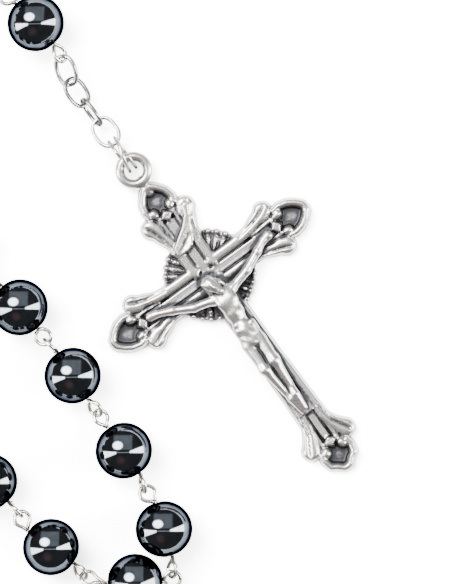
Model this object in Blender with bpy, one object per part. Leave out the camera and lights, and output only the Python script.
"""A five-decade rosary laid flat on a table, as an assembly of separate pieces.

The frame: the origin lies under the middle of the crucifix, on the table. +Z is up.
A loop of beads on eye pins runs from the centre medal round to the medal again, and a
pendant chain runs from the medal's lower ring to the crucifix. Sizes are in metres.
"""
import math

import bmesh
import bpy
from mathutils import Matrix, Vector

MM = 0.001

# Beads and the eye pins that they turn on
BEAD_RADIUS = 4.05 * MM
BEAD_HALF_LENGTH = 3.85 * MM
BORE_RADIUS = 0.55 * MM
PITCH = 12.55 * MM
BEAD_HEIGHT = BEAD_RADIUS
WIRE_RADIUS = 0.275 * MM
EYE_HALF_LENGTH = 1.22 * MM
EYE_HALF_WIDTH = 1.12 * MM
HOOK = 0.375 * MM  # how far a wire passes the joint point that it shares with its neighbour
EYE_ANGLES = (129, 94, 62, 30, 0, -30, -62, -94, -126)
PLAIN_EYE_ANGLES = (130, 86, 43, 0, -43, -86, -127)

# Cable chain, split ring and bail
LINK_SPACING = 3.48 * MM
LINK_HALF_WIDTH = 1.6 * MM
CHAIN_LINK_HALF_WIDTH = 1.4 * MM
LINK_WIRE = 0.28 * MM
LINK_FULLNESS = 0.85  # under 1 squares the ends of a link, and 1 is an ellipse
CHAIN_LENGTH = 10.2 * MM  # three links, between joint points
RING_RADIUS = 2.6 * MM
RING_WIRE = 0.24 * MM
RING_STRAND_OFFSET = 0.5 * MM
RING_HEIGHT = RING_RADIUS + RING_WIRE + 0.05 * MM
BAIL_RADIUS = 1.97 * MM
BAIL_WIRE = 0.63 * MM
BAIL_HEIGHT = 1.72 * MM
BAIL_OFFSET = 18.25 * MM
RING_OFFSET = BAIL_OFFSET + 2.7 * MM

# Crucifix casting, in its own axes: U up the shaft, V to its right
SHAFT_HEADING = 125.9  # degrees from +X, the way that the top of the shaft points
PLATE_THICKNESS = 1.5 * MM
SUNBURST_THICKNESS = 1.15 * MM
SUNBURST_RADIUS = 6.6 * MM
SUNBURST_SCALLOPS = 24
BAR_TOP = 2.1 * MM
HALF_ARM = 17.4 * MM
FOOT = 34.1 * MM
HEAD_END = 15.8 * MM

# Centre medal
MEDAL_HALF_WIDTH = 7.6 * MM
MEDAL_HALF_HEIGHT = 9.6 * MM
MEDAL_THICKNESS = 1.9 * MM
MEDAL_UP_HEADING = -60.0
MEDAL_RING_RADIUS = 1.35 * MM
MEDAL_RING_WIRE = 0.35 * MM
MEDAL_RING_HEIGHT = 1.35 * MM
MEDAL_ARM = (9.2 * MM, 8.9 * MM)  # up and sideways, to the joint point of each upper ring
MEDAL_TAIL = 12.6 * MM

GAP_TURNS = 25  # steps allowed for closing the layout onto a fixed end


def mm(x, y):
    """A point of the table plane given in millimetres, in metres."""
    return Vector((x * MM, y * MM))


def heading(degrees):
    """The unit vector of the table plane that points at so many degrees from +X."""
    return Vector((math.cos(math.radians(degrees)), math.sin(math.radians(degrees))))


# ---------------------------------------------------------------- layout of the beads
# The lower turn of the loop lies beside the crucifix. Its bead centres and its joint
# points are placed by hand; each joint point lies between two interlocked eyes.
TURN_BEADS = (
    (-35.60, 4.55), (-26.70, -4.55), (-19.25, -14.15), (-12.05, -24.70),
    (-6.40, -35.72), (-10.45, -43.20), (-22.30, -38.25), (-31.00, -29.05),
)
TURN_JOINTS = (
    (-39.95, 9.10), (-31.15, 0.10), (-22.95, -9.32), (-15.65, -19.40), (-9.23, -30.18),
    (-5.25, -42.12), (-17.70, -42.40), (-26.66, -33.66), (-35.15, -24.40),
)
SIDE_HOOKED_EYE = (-4.47, -42.60)
TURN_AXES = (-45, -50, -57, -55, -73, 181.5, 145, 134)  # heading of each bead's bore
TURN_ROLLS = (  # degrees that each eye is turned out of the table plane, near and far end
    (90, 0), (80, 10), (85, 45), (35, 70), (12, 55), (8, 35), (50, 15), (78, 0),
)
FAR_STRANDS = (  # name, pieces (b a bead, c a chain of three links), first and last heading
    ("father_section_1", "cbc", 148, 172, "out"),
    ("decade2_beads_a", "bbbbb", 182, 205, "out"),
    ("decade2_beads_b", "bbbbb", 208, 212, "out"),
    ("father_section_2", "cbc", 212, 208, "out"),
    ("decade3_beads_a", "bbbb", 204, 188, "out"),
    ("decade3_beads_b", "bb", 172, 152, "turn"),
    ("decade3_bead_07", "b", 0, 0, 0),
    ("decade3_bead_08", "b", 131, 131, "turn"),
    ("decade3_bead_09", "b", 0, 0, 2),
    ("decade3_bead_10", "b", 118, 118, "turn"),
    ("father_section_3", "cbc", 114, 110, "turn"),
    ("decade4_bead_01", "b", 0, 0, 4),
    ("decade4_beads_a", "bbbb", 92, 45, "turn"),
    ("decade4_beads_b", "bbbbb", 34, 6, "back"),
    ("father_section_4", "cbc", 4, -2, "back"),
    ("decade5_beads_a", "bbbbb", -4, -12, "back"),
    ("decade5_beads_b", "bbbbb", -14, -22, "back"),
)
SLOPED_CHAIN = math.sqrt(CHAIN_LENGTH**2 - (BEAD_HEIGHT - MEDAL_RING_HEIGHT) ** 2)
FATHER_BEAD = (-24.44, 35.42)
FATHER_AXIS = 132  # heading of the lower Our Father bead's bore, away from the crucifix
LINK_HEIGHTS = (3.7, 3.1, 2.4, 2.3, 2.75)  # mm, at the joints from the bead to the ring
LINK_ROLLS = (38, -36, 74, 2)


def evenly(first, last, count):
    """count headings from first to last."""
    if count == 1:
        return [first]
    return [first + (last - first) * i / (count - 1) for i in range(count)]


def piece_length(kind):
    return CHAIN_LENGTH if kind == "c" else PITCH


def solve_two(end_of, target, first, second):
    """The two numbers with which end_of(first, second) lands on target."""
    nudge = 0.02  # degrees
    for _ in range(GAP_TURNS):
        here = end_of(first, second)
        miss = target - here
        by_first = (end_of(first + nudge, second) - here) / nudge
        by_second = (end_of(first, second + nudge) - here) / nudge
        size = by_first.x * by_second.y - by_first.y * by_second.x
        first += max(-5.0, min(5.0, (miss.x * by_second.y - miss.y * by_second.x) / size))
        second += max(-5.0, min(5.0, (by_first.x * miss.y - by_first.y * miss.x) / size))
    return first, second


def lead_in():
    """The joint points from the medal's first arm to the turn, and the medal's middle."""
    joints = [mm(*TURN_JOINTS[0])]
    joints.insert(0, joints[0] - heading(-40) * PITCH)
    joints.insert(0, joints[0] + (mm(*TURN_JOINTS[7]) - mm(*TURN_JOINTS[6])))
    joints.insert(0, joints[0] - heading(-28) * SLOPED_CHAIN)
    up, side = heading(MEDAL_UP_HEADING), heading(MEDAL_UP_HEADING + 90)
    middle = joints[0] - up * MEDAL_ARM[0] - side * MEDAL_ARM[1]
    return joints, middle


def far_points(lean, bow):
    """Per strand beyond the turn, its joint points. Some beads are laid exactly against
    a bead of the turn, so that the two can swing together and the loop stays closed."""
    back_total = sum(len(s[1]) for s in FAR_STRANDS if s[4] == "back") - 1
    point, strands, back_done = mm(*TURN_JOINTS[8]), [], 0
    for name, kinds, first, last, part in FAR_STRANDS:
        points = [point]
        for kind, angle in zip(kinds, evenly(first, last, len(kinds))):
            if isinstance(part, int):
                point = point + mm(*TURN_JOINTS[part]) - mm(*TURN_JOINTS[part + 1])
            else:
                if part == "out":
                    angle += lean
                if part == "back":
                    angle += bow * (1 - 2 * back_done / back_total)
                    back_done += 1
                point = point + heading(angle) * piece_length(kind)
            points.append(point)
        strands.append((name, kinds, points))
    return strands


def far_strands():
    """The strands beyond the turn, closed onto the medal's second arm by a last chain."""
    joints, middle = lead_in()
    up, side = heading(MEDAL_UP_HEADING), heading(MEDAL_UP_HEADING + 90)
    second_arm = middle + up * MEDAL_ARM[0] - side * MEDAL_ARM[1]
    chain_start = second_arm - heading(-22) * SLOPED_CHAIN
    lean, bow = solve_two(lambda a, b: far_points(a, b)[-1][2][-1], chain_start, 0.0, 0.0)
    return far_points(lean, bow), chain_start, second_arm


PENDANT = (  # from the medal down to the lower Our Father bead
    ("pendant_chain_upper", "c"), ("pendant_father_upper", "b"), ("pendant_chain_middle", "c"),
    ("pendant_bead_3", "b"), ("pendant_bead_2", "b"), ("pendant_bead_1", "b"),
    ("pendant_chain_lower", "c"),
)


def father_joints():
    """The joint points above and below the lower Our Father bead."""
    centre = mm(*FATHER_BEAD)
    below = centre + heading(FATHER_AXIS + 175) * (PITCH / 2)
    return centre + heading(FATHER_AXIS + 6) * (PITCH / 2), below


def pendant_joints():
    """The joint points from the medal's tail to the lower Our Father bead."""
    tail = lead_in()[1] - heading(MEDAL_UP_HEADING) * MEDAL_TAIL

    def points(first, last):
        out = [tail]
        for (name, kind), angle in zip(PENDANT, evenly(first, last, len(PENDANT))):
            length = SLOPED_CHAIN if name == "pendant_chain_upper" else piece_length(kind)
            out.append(out[-1] + heading(angle) * length)
        return out

    first, last = solve_two(lambda a, b: points(a, b)[-1], father_joints()[0], 66.0, -72.0)
    return points(first, last)


def link_joints():
    """The joint points from the lower Our Father bead to the split ring, in space."""

    def flat(first, rest):
        out = [father_joints()[1]]
        for i in range(4):
            drop = (LINK_HEIGHTS[i] - LINK_HEIGHTS[i + 1]) * MM
            run = math.sqrt(LINK_SPACING**2 - drop**2)
            out.append(out[-1] + heading(rest if i else first) * run)
        return out

    ring_end = heading(SHAFT_HEADING) * (RING_OFFSET + RING_RADIUS - HOOK)
    first, rest = solve_two(lambda a, b: flat(a, b)[-1], ring_end, -68.0, -56.0)
    return [Vector((p.x, p.y, z * MM)) for p, z in zip(flat(first, rest), LINK_HEIGHTS)]


def raised(point, height=BEAD_HEIGHT):
    return Vector((point.x, point.y, height))


# ------------------------------------------------------------------------ mesh helpers
def clear_scene():
    for thing in list(bpy.data.objects):
        bpy.data.objects.remove(thing, do_unlink=True)


MATERIALS = {
    "hematite": ((0.035, 0.038, 0.045), 0.08, 0.85),
    "bright_wire": ((0.80, 0.78, 0.74), 0.22, 1.0),
    "antique_silver": ((0.52, 0.51, 0.49), 0.34, 1.0),
}


def finished(name, bm, finish):
    """An object with its own material, its faces pointing out, and round parts smooth."""
    bmesh.ops.recalc_face_normals(bm, faces=bm.faces)
    mesh = bpy.data.meshes.new(name)
    bm.to_mesh(mesh)
    bm.free()
    thing = bpy.data.objects.new(name, mesh)
    bpy.context.scene.collection.objects.link(thing)
    color, roughness, metallic = MATERIALS[finish]
    material = bpy.data.materials.new(name)
    material.use_nodes = True
    shader = material.node_tree.nodes["Principled BSDF"]
    shader.inputs["Base Color"].default_value = (*color, 1.0)
    shader.inputs["Roughness"].default_value = roughness
    shader.inputs["Metallic"].default_value = metallic
    mesh.materials.append(material)
    mesh.shade_smooth()
    mesh.set_sharp_from_angle(angle=math.radians(40))
    return thing


def joined(name, parts, finish):
    """One closed body from closed parts that overlap."""
    bodies = []
    for i, bm in enumerate(parts):
        bmesh.ops.recalc_face_normals(bm, faces=bm.faces)
        mesh = bpy.data.meshes.new(f"{name}_{i}")
        bm.to_mesh(mesh)
        bm.free()
        body = bpy.data.objects.new(f"{name}_{i}", mesh)
        bpy.context.scene.collection.objects.link(body)
        bodies.append(body)
    base = bodies[0]
    for tool in bodies[1:]:
        cut = base.modifiers.new("join", "BOOLEAN")
        cut.operation = "UNION"
        cut.solver = "EXACT"
        cut.object = tool
    view = bpy.context.evaluated_depsgraph_get()
    result = bmesh.new()
    result.from_mesh(base.evaluated_get(view).to_mesh())
    bmesh.ops.dissolve_degenerate(result, dist=1e-6, edges=result.edges)
    for body in bodies:
        bpy.data.objects.remove(body, do_unlink=True)
    return finished(name, result, finish)


def tube(points, radius, sides, closed=False, stretch=1.0):
    """A wire that follows points. stretch widens it across its first normal."""
    bm = bmesh.new()
    count = len(points)
    rings, normal = [], None
    for i, point in enumerate(points):
        before = points[i - 1] if closed or i else points[0]
        after = points[(i + 1) % count] if closed or i < count - 1 else points[-1]
        along = (after - before).normalized()
        if normal is None:
            spare = Vector((0, 0, 1)) if abs(along.z) < 0.9 else Vector((1, 0, 0))
            normal = along.cross(spare).normalized()
        normal = (normal - along * normal.dot(along)).normalized()
        other = along.cross(normal)
        ring = []
        for k in range(sides):
            turn = 2 * math.pi * (k + 0.5) / sides
            reach = normal * math.cos(turn) * stretch + other * math.sin(turn)
            ring.append(bm.verts.new(point + reach * radius))
        rings.append(ring)
    spans = count if closed else count - 1
    for i in range(spans):
        near, far = rings[i], rings[(i + 1) % count]
        for k in range(sides):
            m = (k + 1) % sides
            bm.faces.new((near[k], near[m], far[m], far[k]))
    if not closed:
        bm.faces.new(rings[0])
        bm.faces.new(rings[-1])
    return bm


def turned(profile, sides, axis, centre):
    """A solid turned about axis from (along, radius) pairs; ends on the axis close up."""
    bm = bmesh.new()
    rings = []
    for along, radius in profile:
        if radius == 0:
            rings.append([bm.verts.new((along, 0, 0))])
            continue
        turns = (2 * math.pi * (k + 0.5) / sides for k in range(sides))
        rings.append([bm.verts.new((along, radius * math.cos(t), radius * math.sin(t)))
                      for t in turns])
    hollow = profile[0] == profile[-1]
    if hollow:
        for vertex in rings[-1]:
            bm.verts.remove(vertex)
        rings[-1] = rings[0]
    for near, far in zip(rings, rings[1:]):
        for k in range(sides):
            m = (k + 1) % sides
            if len(near) == 1:
                bm.faces.new((near[0], far[m], far[k]))
            elif len(far) == 1:
                bm.faces.new((near[k], near[m], far[0]))
            else:
                bm.faces.new((near[k], near[m], far[m], far[k]))
    turn = Vector((1, 0, 0)).rotation_difference(axis.normalized()).to_matrix().to_4x4()
    bm.transform(Matrix.Translation(centre) @ turn)
    return bm


def prism(outline, bottom, top, place, rim=0.0):
    """An outline raised from bottom to top, its top edge drawn in by rim."""
    bm = bmesh.new()
    low = [bm.verts.new(place(u, v, bottom)) for u, v in outline]
    high = [bm.verts.new(place(u, v, top - rim)) for u, v in outline]
    count = len(outline)
    for i in range(count):
        k = (i + 1) % count
        bm.faces.new((low[i], low[k], high[k], high[i]))
    bm.faces.new(low)
    cap = bm.faces.new(high)
    if rim:
        bmesh.ops.inset_region(bm, faces=[cap], thickness=rim, depth=0.0)
        up = place(0, 0, top) - place(0, 0, top - rim)
        bmesh.ops.translate(bm, verts=list(cap.verts), vec=up)
    return bm


# ------------------------------------------------------------------------- the pieces
def bead_profile(bored, steps):
    """Half of a bead's outline, a ball a little flattened where it is drilled."""
    first = math.asin(1.15 * MM / BEAD_RADIUS)
    angles = [first + (math.pi - 2 * first) * i / steps for i in range(steps + 1)]
    squash = BEAD_HALF_LENGTH / (BEAD_RADIUS * math.cos(first))
    arc = [(-BEAD_RADIUS * math.cos(a) * squash, BEAD_RADIUS * math.sin(a)) for a in angles]
    if not bored:
        return [(-BEAD_HALF_LENGTH, 0), *arc, (BEAD_HALF_LENGTH, 0)]
    ends = [(-BEAD_HALF_LENGTH, BORE_RADIUS), (BEAD_HALF_LENGTH, BORE_RADIUS)]
    return [ends[0], *arc, ends[1], ends[0]]


def eye_points(centre, axis, joint, roll, angles):
    """The bent end of a pin: from the bead's bore out round a loop that hooks past joint."""
    end = centre + axis * (BEAD_HALF_LENGTH + 0.08 * MM)
    out = (joint - end).normalized()
    level = Vector((0, 0, 1)).cross(out).normalized()
    across = Matrix.Rotation(math.radians(roll), 3, out) @ level
    middle = joint + out * (HOOK - EYE_HALF_LENGTH)
    loop = []
    for angle in angles:
        turn = math.radians(angle)
        loop.append(middle + out * EYE_HALF_LENGTH * math.cos(turn)
                    + across * EYE_HALF_WIDTH * math.sin(turn))
    return [end, *loop]


def eye_pin(name, centre, axis, joints, rolls):
    """A straight wire through a bead with an eye bent at each end."""
    first = eye_points(centre, -axis, joints[0], rolls[0], EYE_ANGLES)
    second = eye_points(centre, axis, joints[1], rolls[1], EYE_ANGLES)
    return finished(name, tube([*reversed(first), *second], WIRE_RADIUS, 6), "bright_wire")


def bead(name, centre, axis):
    return finished(name, turned(bead_profile(True, 6), 12, axis, centre), "hematite")


def plain_eye(centre, axis, joint, roll):
    points = eye_points(centre, axis, joint, roll, PLAIN_EYE_ANGLES)
    return tube([centre + axis * 3 * MM, *points], WIRE_RADIUS, 4)


def plain_bead(centre, axis):
    return turned(bead_profile(False, 4), 8, axis, centre)


def fuller(share):
    return math.copysign(abs(share) ** LINK_FULLNESS, share)


def link_body(start, end, roll, reach, half_width=LINK_HALF_WIDTH, steps=12, sides=6):
    """An oval link between two joint points, passing each by reach."""
    along = (end - start).normalized()
    level = Vector((0, 0, 1)).cross(along).normalized()
    across = Matrix.Rotation(math.radians(roll), 3, along) @ level
    first, last = start - along * reach, end + along * reach
    middle, half = (first + last) / 2, (last - first).length / 2
    points = []
    for i in range(steps):
        turn = 2 * math.pi * i / steps
        points.append(middle + along * half * fuller(math.cos(turn))
                      + across * half_width * fuller(math.sin(turn)))
    return tube(points, LINK_WIRE, sides, closed=True)


def chain_bodies(start, end):
    """Three links joined into one, upright, flat and upright, from start to end."""
    a, b = start.lerp(end, 1 / 3), start.lerp(end, 2 / 3)
    width = CHAIN_LINK_HALF_WIDTH
    return [
        link_body(start, a, 90, HOOK, width, 8, 4),
        link_body(a, b, 0, -0.1 * MM, width, 8, 4),
        link_body(b, end, 90, HOOK, width, 8, 4),
    ]


def strand(name, kinds, joints, rolls, finish="hematite"):
    """Beads, pins and chains joined into one body, with an open eye or link at each end."""
    parts, last = [], len(kinds) - 1
    centres = [(a + b) / 2 for a, b in zip(joints, joints[1:])]
    for i, kind in enumerate(kinds):
        start, end = joints[i], joints[i + 1]
        axis = (end - start).normalized()
        if kind == "c":
            parts += chain_bodies(start, end)
            continue
        parts.append(plain_bead(centres[i], axis))
        if i == 0:
            parts.append(plain_eye(centres[i], -axis, start, rolls[0]))
        elif kinds[i - 1] == "c":
            parts.append(tube([centres[i], start + (start - centres[i]) * 0.02], 0.35 * MM, 4))
        if i == last:
            parts.append(plain_eye(centres[i], axis, end, rolls[1]))
        elif kinds[i + 1] == "c":
            parts.append(tube([centres[i], end + (end - centres[i]) * 0.02], 0.35 * MM, 4))
        else:
            parts.append(tube([centres[i], centres[i + 1]], 0.35 * MM, 4))
    return joined(name, parts, finish)


def split_ring(ring_centre, along):
    """A wire ring of nearly two turns, its turns side by side, standing on edge."""
    up = Vector((0, 0, 1))
    side = up.cross(along)
    turns, steps = 1.93, 29
    points = []
    for i in range(steps + 1):
        share = i / steps
        angle = 2 * math.pi * turns * share + math.radians(100)
        cross = min(1.0, max(0.0, (share * turns - 0.80) / 0.33))
        cross = cross * cross * (3 - 2 * cross)
        offset = RING_STRAND_OFFSET * (2 * cross - 1)
        points.append(ring_centre + (along * math.cos(angle) + up * math.sin(angle))
                      * RING_RADIUS + side * offset)
    return finished("split_ring", tube(points, RING_WIRE, 6), "bright_wire")


def terminal(tip, neck):
    """Half-outlined lobe and curled petals at an arm's end: (out, aside) in metres."""
    half = (
        (0.0, neck), (tip - 8.6 * MM, neck), (tip - 7.2 * MM, 3.2 * MM),
        (tip - 6.3 * MM, 4.2 * MM), (tip - 5.2 * MM, 4.5 * MM), (tip - 4.3 * MM, 4.0 * MM),
        (tip - 3.9 * MM, 2.9 * MM), (tip - 3.0 * MM, 2.6 * MM), (tip - 1.5 * MM, 2.0 * MM),
        (tip - 0.5 * MM, 1.0 * MM),
    )
    return [*half, (tip, 0.0), *((u, -v) for u, v in reversed(half))]


def crucifix_place(turn, base=0.0):
    """A function from (out, aside, height) on the arm turned by turn degrees to space."""
    out = heading(SHAFT_HEADING + turn)
    aside = heading(SHAFT_HEADING + turn + 90)

    def place(u, v, z):
        flat = out * (u + base) + aside * v
        return Vector((flat.x, flat.y, z))

    return place


def figure_parts():
    """The small figure: head, torso, wrapped cloth, arms, legs and foot rest."""
    place = crucifix_place(0)
    z = 2.6 * MM
    spots = {k: place(u * MM, v * MM, z + h * MM) for k, (u, v, h) in {
        "head": (-0.9, 0.9, 0.75), "neck": (-2.3, 0.2, 0.2), "waist": (-7.6, -0.3, 0.2),
        "hips": (-10.2, -0.1, 0.2), "knees": (-14.2, 0.4, 0.5), "feet": (-19.4, 0.2, 0.0),
        "left": (0.3, 8.2, -0.1), "right": (0.4, -8.0, -0.1), "left_shoulder": (-3.0, 1.7, 0.1),
        "right_shoulder": (-2.9, -1.8, 0.1), "left_elbow": (-1.8, 4.9, 0.0),
        "right_elbow": (-1.2, -4.9, 0.0)}.items()}
    head = turned([(-1.7 * MM, 0), (-1.1 * MM, 1.0 * MM), (0.2 * MM, 1.25 * MM),
                   (1.2 * MM, 0.8 * MM), (1.6 * MM, 0)], 8, place(0, 1, 0) * 0.3
                  + place(1, 0, 0), spots["head"])
    limbs = [head]
    limbs.append(tube([spots["neck"], spots["waist"], spots["hips"]], 1.45 * MM, 6, stretch=1.15))
    limbs.append(tube([spots["hips"], spots["knees"], spots["feet"]], 1.05 * MM, 6, stretch=1.2))
    arms = ("left", "left_elbow", "left_shoulder", "right_shoulder", "right_elbow", "right")
    limbs.append(tube([spots[k] for k in arms], 0.62 * MM, 6))
    return limbs


def crucifix():
    """The casting: four flared arms, a scalloped sunburst, a raised inner cross, a plain
    slanting scroll, the figure and the bail."""
    parts = [prism([(u, v) for u, v in terminal(FOOT, 1.9 * MM)], 0, PLATE_THICKNESS,
                   crucifix_place(180), 0.25 * MM)]
    parts.append(prism(terminal(HEAD_END, 2.4 * MM), 0, PLATE_THICKNESS - 0.01 * MM,
                       crucifix_place(0), 0.25 * MM))
    for turn in (90, -90):
        parts.append(prism(terminal(HALF_ARM, 2.4 * MM), 0, PLATE_THICKNESS - 0.02 * MM,
                           crucifix_place(turn), 0.25 * MM))
    rays = []
    for i in range(2 * SUNBURST_SCALLOPS):
        turn = math.radians(180 * i / SUNBURST_SCALLOPS + 3.7)
        reach = SUNBURST_RADIUS * (1.0 if i % 2 else 0.93)
        rays.append((reach * math.cos(turn), reach * math.sin(turn)))
    parts.append(prism(rays, 0, SUNBURST_THICKNESS, crucifix_place(0)))
    for turn, length, width in ((0, 9.0, 1.35), (180, 25.5, 1.1), (90, 9.7, 1.35), (-90, 9.7, 1.35)):
        bar = [(-0.5 * MM, width * MM), (length * MM, width * MM),
               (length * MM, -width * MM), (-0.5 * MM, -width * MM)]
        parts.append(prism(bar, 0.5 * MM, BAR_TOP + turn * 1e-8, crucifix_place(turn), 0.2 * MM))
    scroll = [(4.6 * MM, -2.0 * MM), (8.2 * MM, 0.5 * MM), (7.2 * MM, 2.3 * MM), (3.4 * MM, -0.2 * MM)]
    parts.append(prism(scroll, 0.6 * MM, BAR_TOP + 0.3 * MM, crucifix_place(0)))
    place = crucifix_place(0, BAIL_OFFSET)
    hoop = [place(BAIL_RADIUS * math.cos(t), BAIL_RADIUS * math.sin(t), BAIL_HEIGHT)
            for t in (2 * math.pi * (k + 0.5) / 16 for k in range(16))]
    parts.append(tube(hoop, BAIL_WIRE, 8, closed=True))
    neck_top, neck_foot = place(-BAIL_RADIUS, 0, 1.37 * MM), place(-4.5 * MM, 0, 0.93 * MM)
    parts.append(tube([neck_top, neck_foot], 0.72 * MM, 7))
    parts += figure_parts()
    return joined("crucifix", parts, "antique_silver")


def centre_medal():
    """An oval medal with a raised rim, a plain cross and three rings."""
    middle = lead_in()[1]
    up, side = heading(MEDAL_UP_HEADING), heading(MEDAL_UP_HEADING + 90)

    def place(u, v, z):
        flat = middle + up * u + side * v
        return Vector((flat.x, flat.y, z))

    oval = []
    for i in range(28):
        turn = 2 * math.pi * i / 28
        oval.append((MEDAL_HALF_HEIGHT * math.cos(turn), MEDAL_HALF_WIDTH * math.sin(turn)))
    parts = [prism(oval, 0, MEDAL_THICKNESS, place, 0.35 * MM)]
    for length, width in ((6.2, 0.9), (0.9, 4.2)):
        cross = [(length * MM, width * MM), (-length * MM, width * MM),
                 (-length * MM, -width * MM), (length * MM, -width * MM)]
        parts.append(prism(cross, 0.6 * MM, MEDAL_THICKNESS + 0.4 * MM + width * 1e-5, place))
    chain_start, second_arm = far_strands()[1:]
    hung = (lead_in()[0][:2], (second_arm, chain_start), pendant_joints()[:2])
    for joint, beyond in hung:
        away = (beyond - joint).normalized()
        centre = joint - away * (MEDAL_RING_RADIUS - HOOK - 0.1 * MM)
        first = math.degrees(math.atan2(away.y, away.x))
        ring = [raised(centre + heading(36 * k + first) * MEDAL_RING_RADIUS, MEDAL_RING_HEIGHT)
                for k in range(10)]
        parts.append(tube(ring, MEDAL_RING_WIRE, 6, closed=True))
        inward = (middle - centre).normalized()
        foot = centre + inward * ((middle - centre).length - 6 * MM)
        parts.append(tube([raised(centre + inward * MEDAL_RING_RADIUS, MEDAL_RING_HEIGHT),
                           raised(foot, 0.9 * MM)], 0.6 * MM, 6))
    return joined("centre_medal", parts, "antique_silver")


def turn_strand():
    """The ten beads of the first decade: two joined to their pins, and eight on pins that
    they turn on."""
    joints = lead_in()[0]
    low = Vector((joints[0].x, joints[0].y, MEDAL_RING_HEIGHT))
    strand("decade1_chain", "c", [low, raised(joints[1])], (90, 90), "bright_wire")
    strand("decade1_bead_01", "b", [raised(p) for p in joints[1:3]], (0, 0))
    strand("decade1_bead_02", "b", [raised(p) for p in joints[2:4]], (90, 0))
    for i, (spot, angle) in enumerate(zip(TURN_BEADS, TURN_AXES)):
        centre, axis = raised(mm(*spot)), raised(heading(angle), 0)
        ends = [raised(mm(*TURN_JOINTS[i])), raised(mm(*TURN_JOINTS[i + 1]))]
        if i == 5:  # its first eye is hooked by its side and not by its end
            ends[0] = raised(mm(*SIDE_HOOKED_EYE))
        bead(f"decade1_bead_{i + 3:02d}", centre, axis)
        eye_pin(f"decade1_pin_{i + 3:02d}", centre, axis, ends, TURN_ROLLS[i])


def far_loop():
    strands, chain_start, second_arm = far_strands()
    after_chain = True
    for name, kinds, points in strands:
        near = 90 if not after_chain else 0
        strand(name, kinds, [raised(p) for p in points], (near, 0))
        after_chain = kinds[-1] == "c"
    low = Vector((second_arm.x, second_arm.y, MEDAL_RING_HEIGHT))
    strand("last_chain", "c", [raised(chain_start), low], (90, 90), "bright_wire")


def pendant():
    joints = [raised(p) for p in pendant_joints()]
    joints[0].z = MEDAL_RING_HEIGHT
    after_chain = False
    for (name, kind), start, end in zip(PENDANT, joints, joints[1:]):
        finish = "bright_wire" if kind == "c" else "hematite"
        strand(name, kind, [start, end], (0 if after_chain else 90, 0), finish)
        after_chain = kind == "c"
    above, below = father_joints()
    links = link_joints()
    centre, axis = raised(mm(*FATHER_BEAD)), raised(heading(FATHER_AXIS + 180), 0)
    bead("pendant_father_bead", centre, axis)
    eye_pin("pendant_father_pin", centre, axis, [raised(above), links[0]], (0, -52))
    for i, roll in enumerate(LINK_ROLLS):
        body = link_body(links[i], links[i + 1], roll, HOOK)
        finished(f"cable_link_{i + 1}", body, "bright_wire")
    toward = raised(-heading(SHAFT_HEADING), 0)
    split_ring(ring_centre(), toward)


def ring_centre():
    """The middle of the split ring, which hangs between the last link and the bail."""
    flat = heading(SHAFT_HEADING) * RING_OFFSET
    return Vector((flat.x, flat.y, RING_HEIGHT))


def build():
    clear_scene()
    crucifix()
    centre_medal()
    pendant()
    turn_strand()
    far_loop()


build()
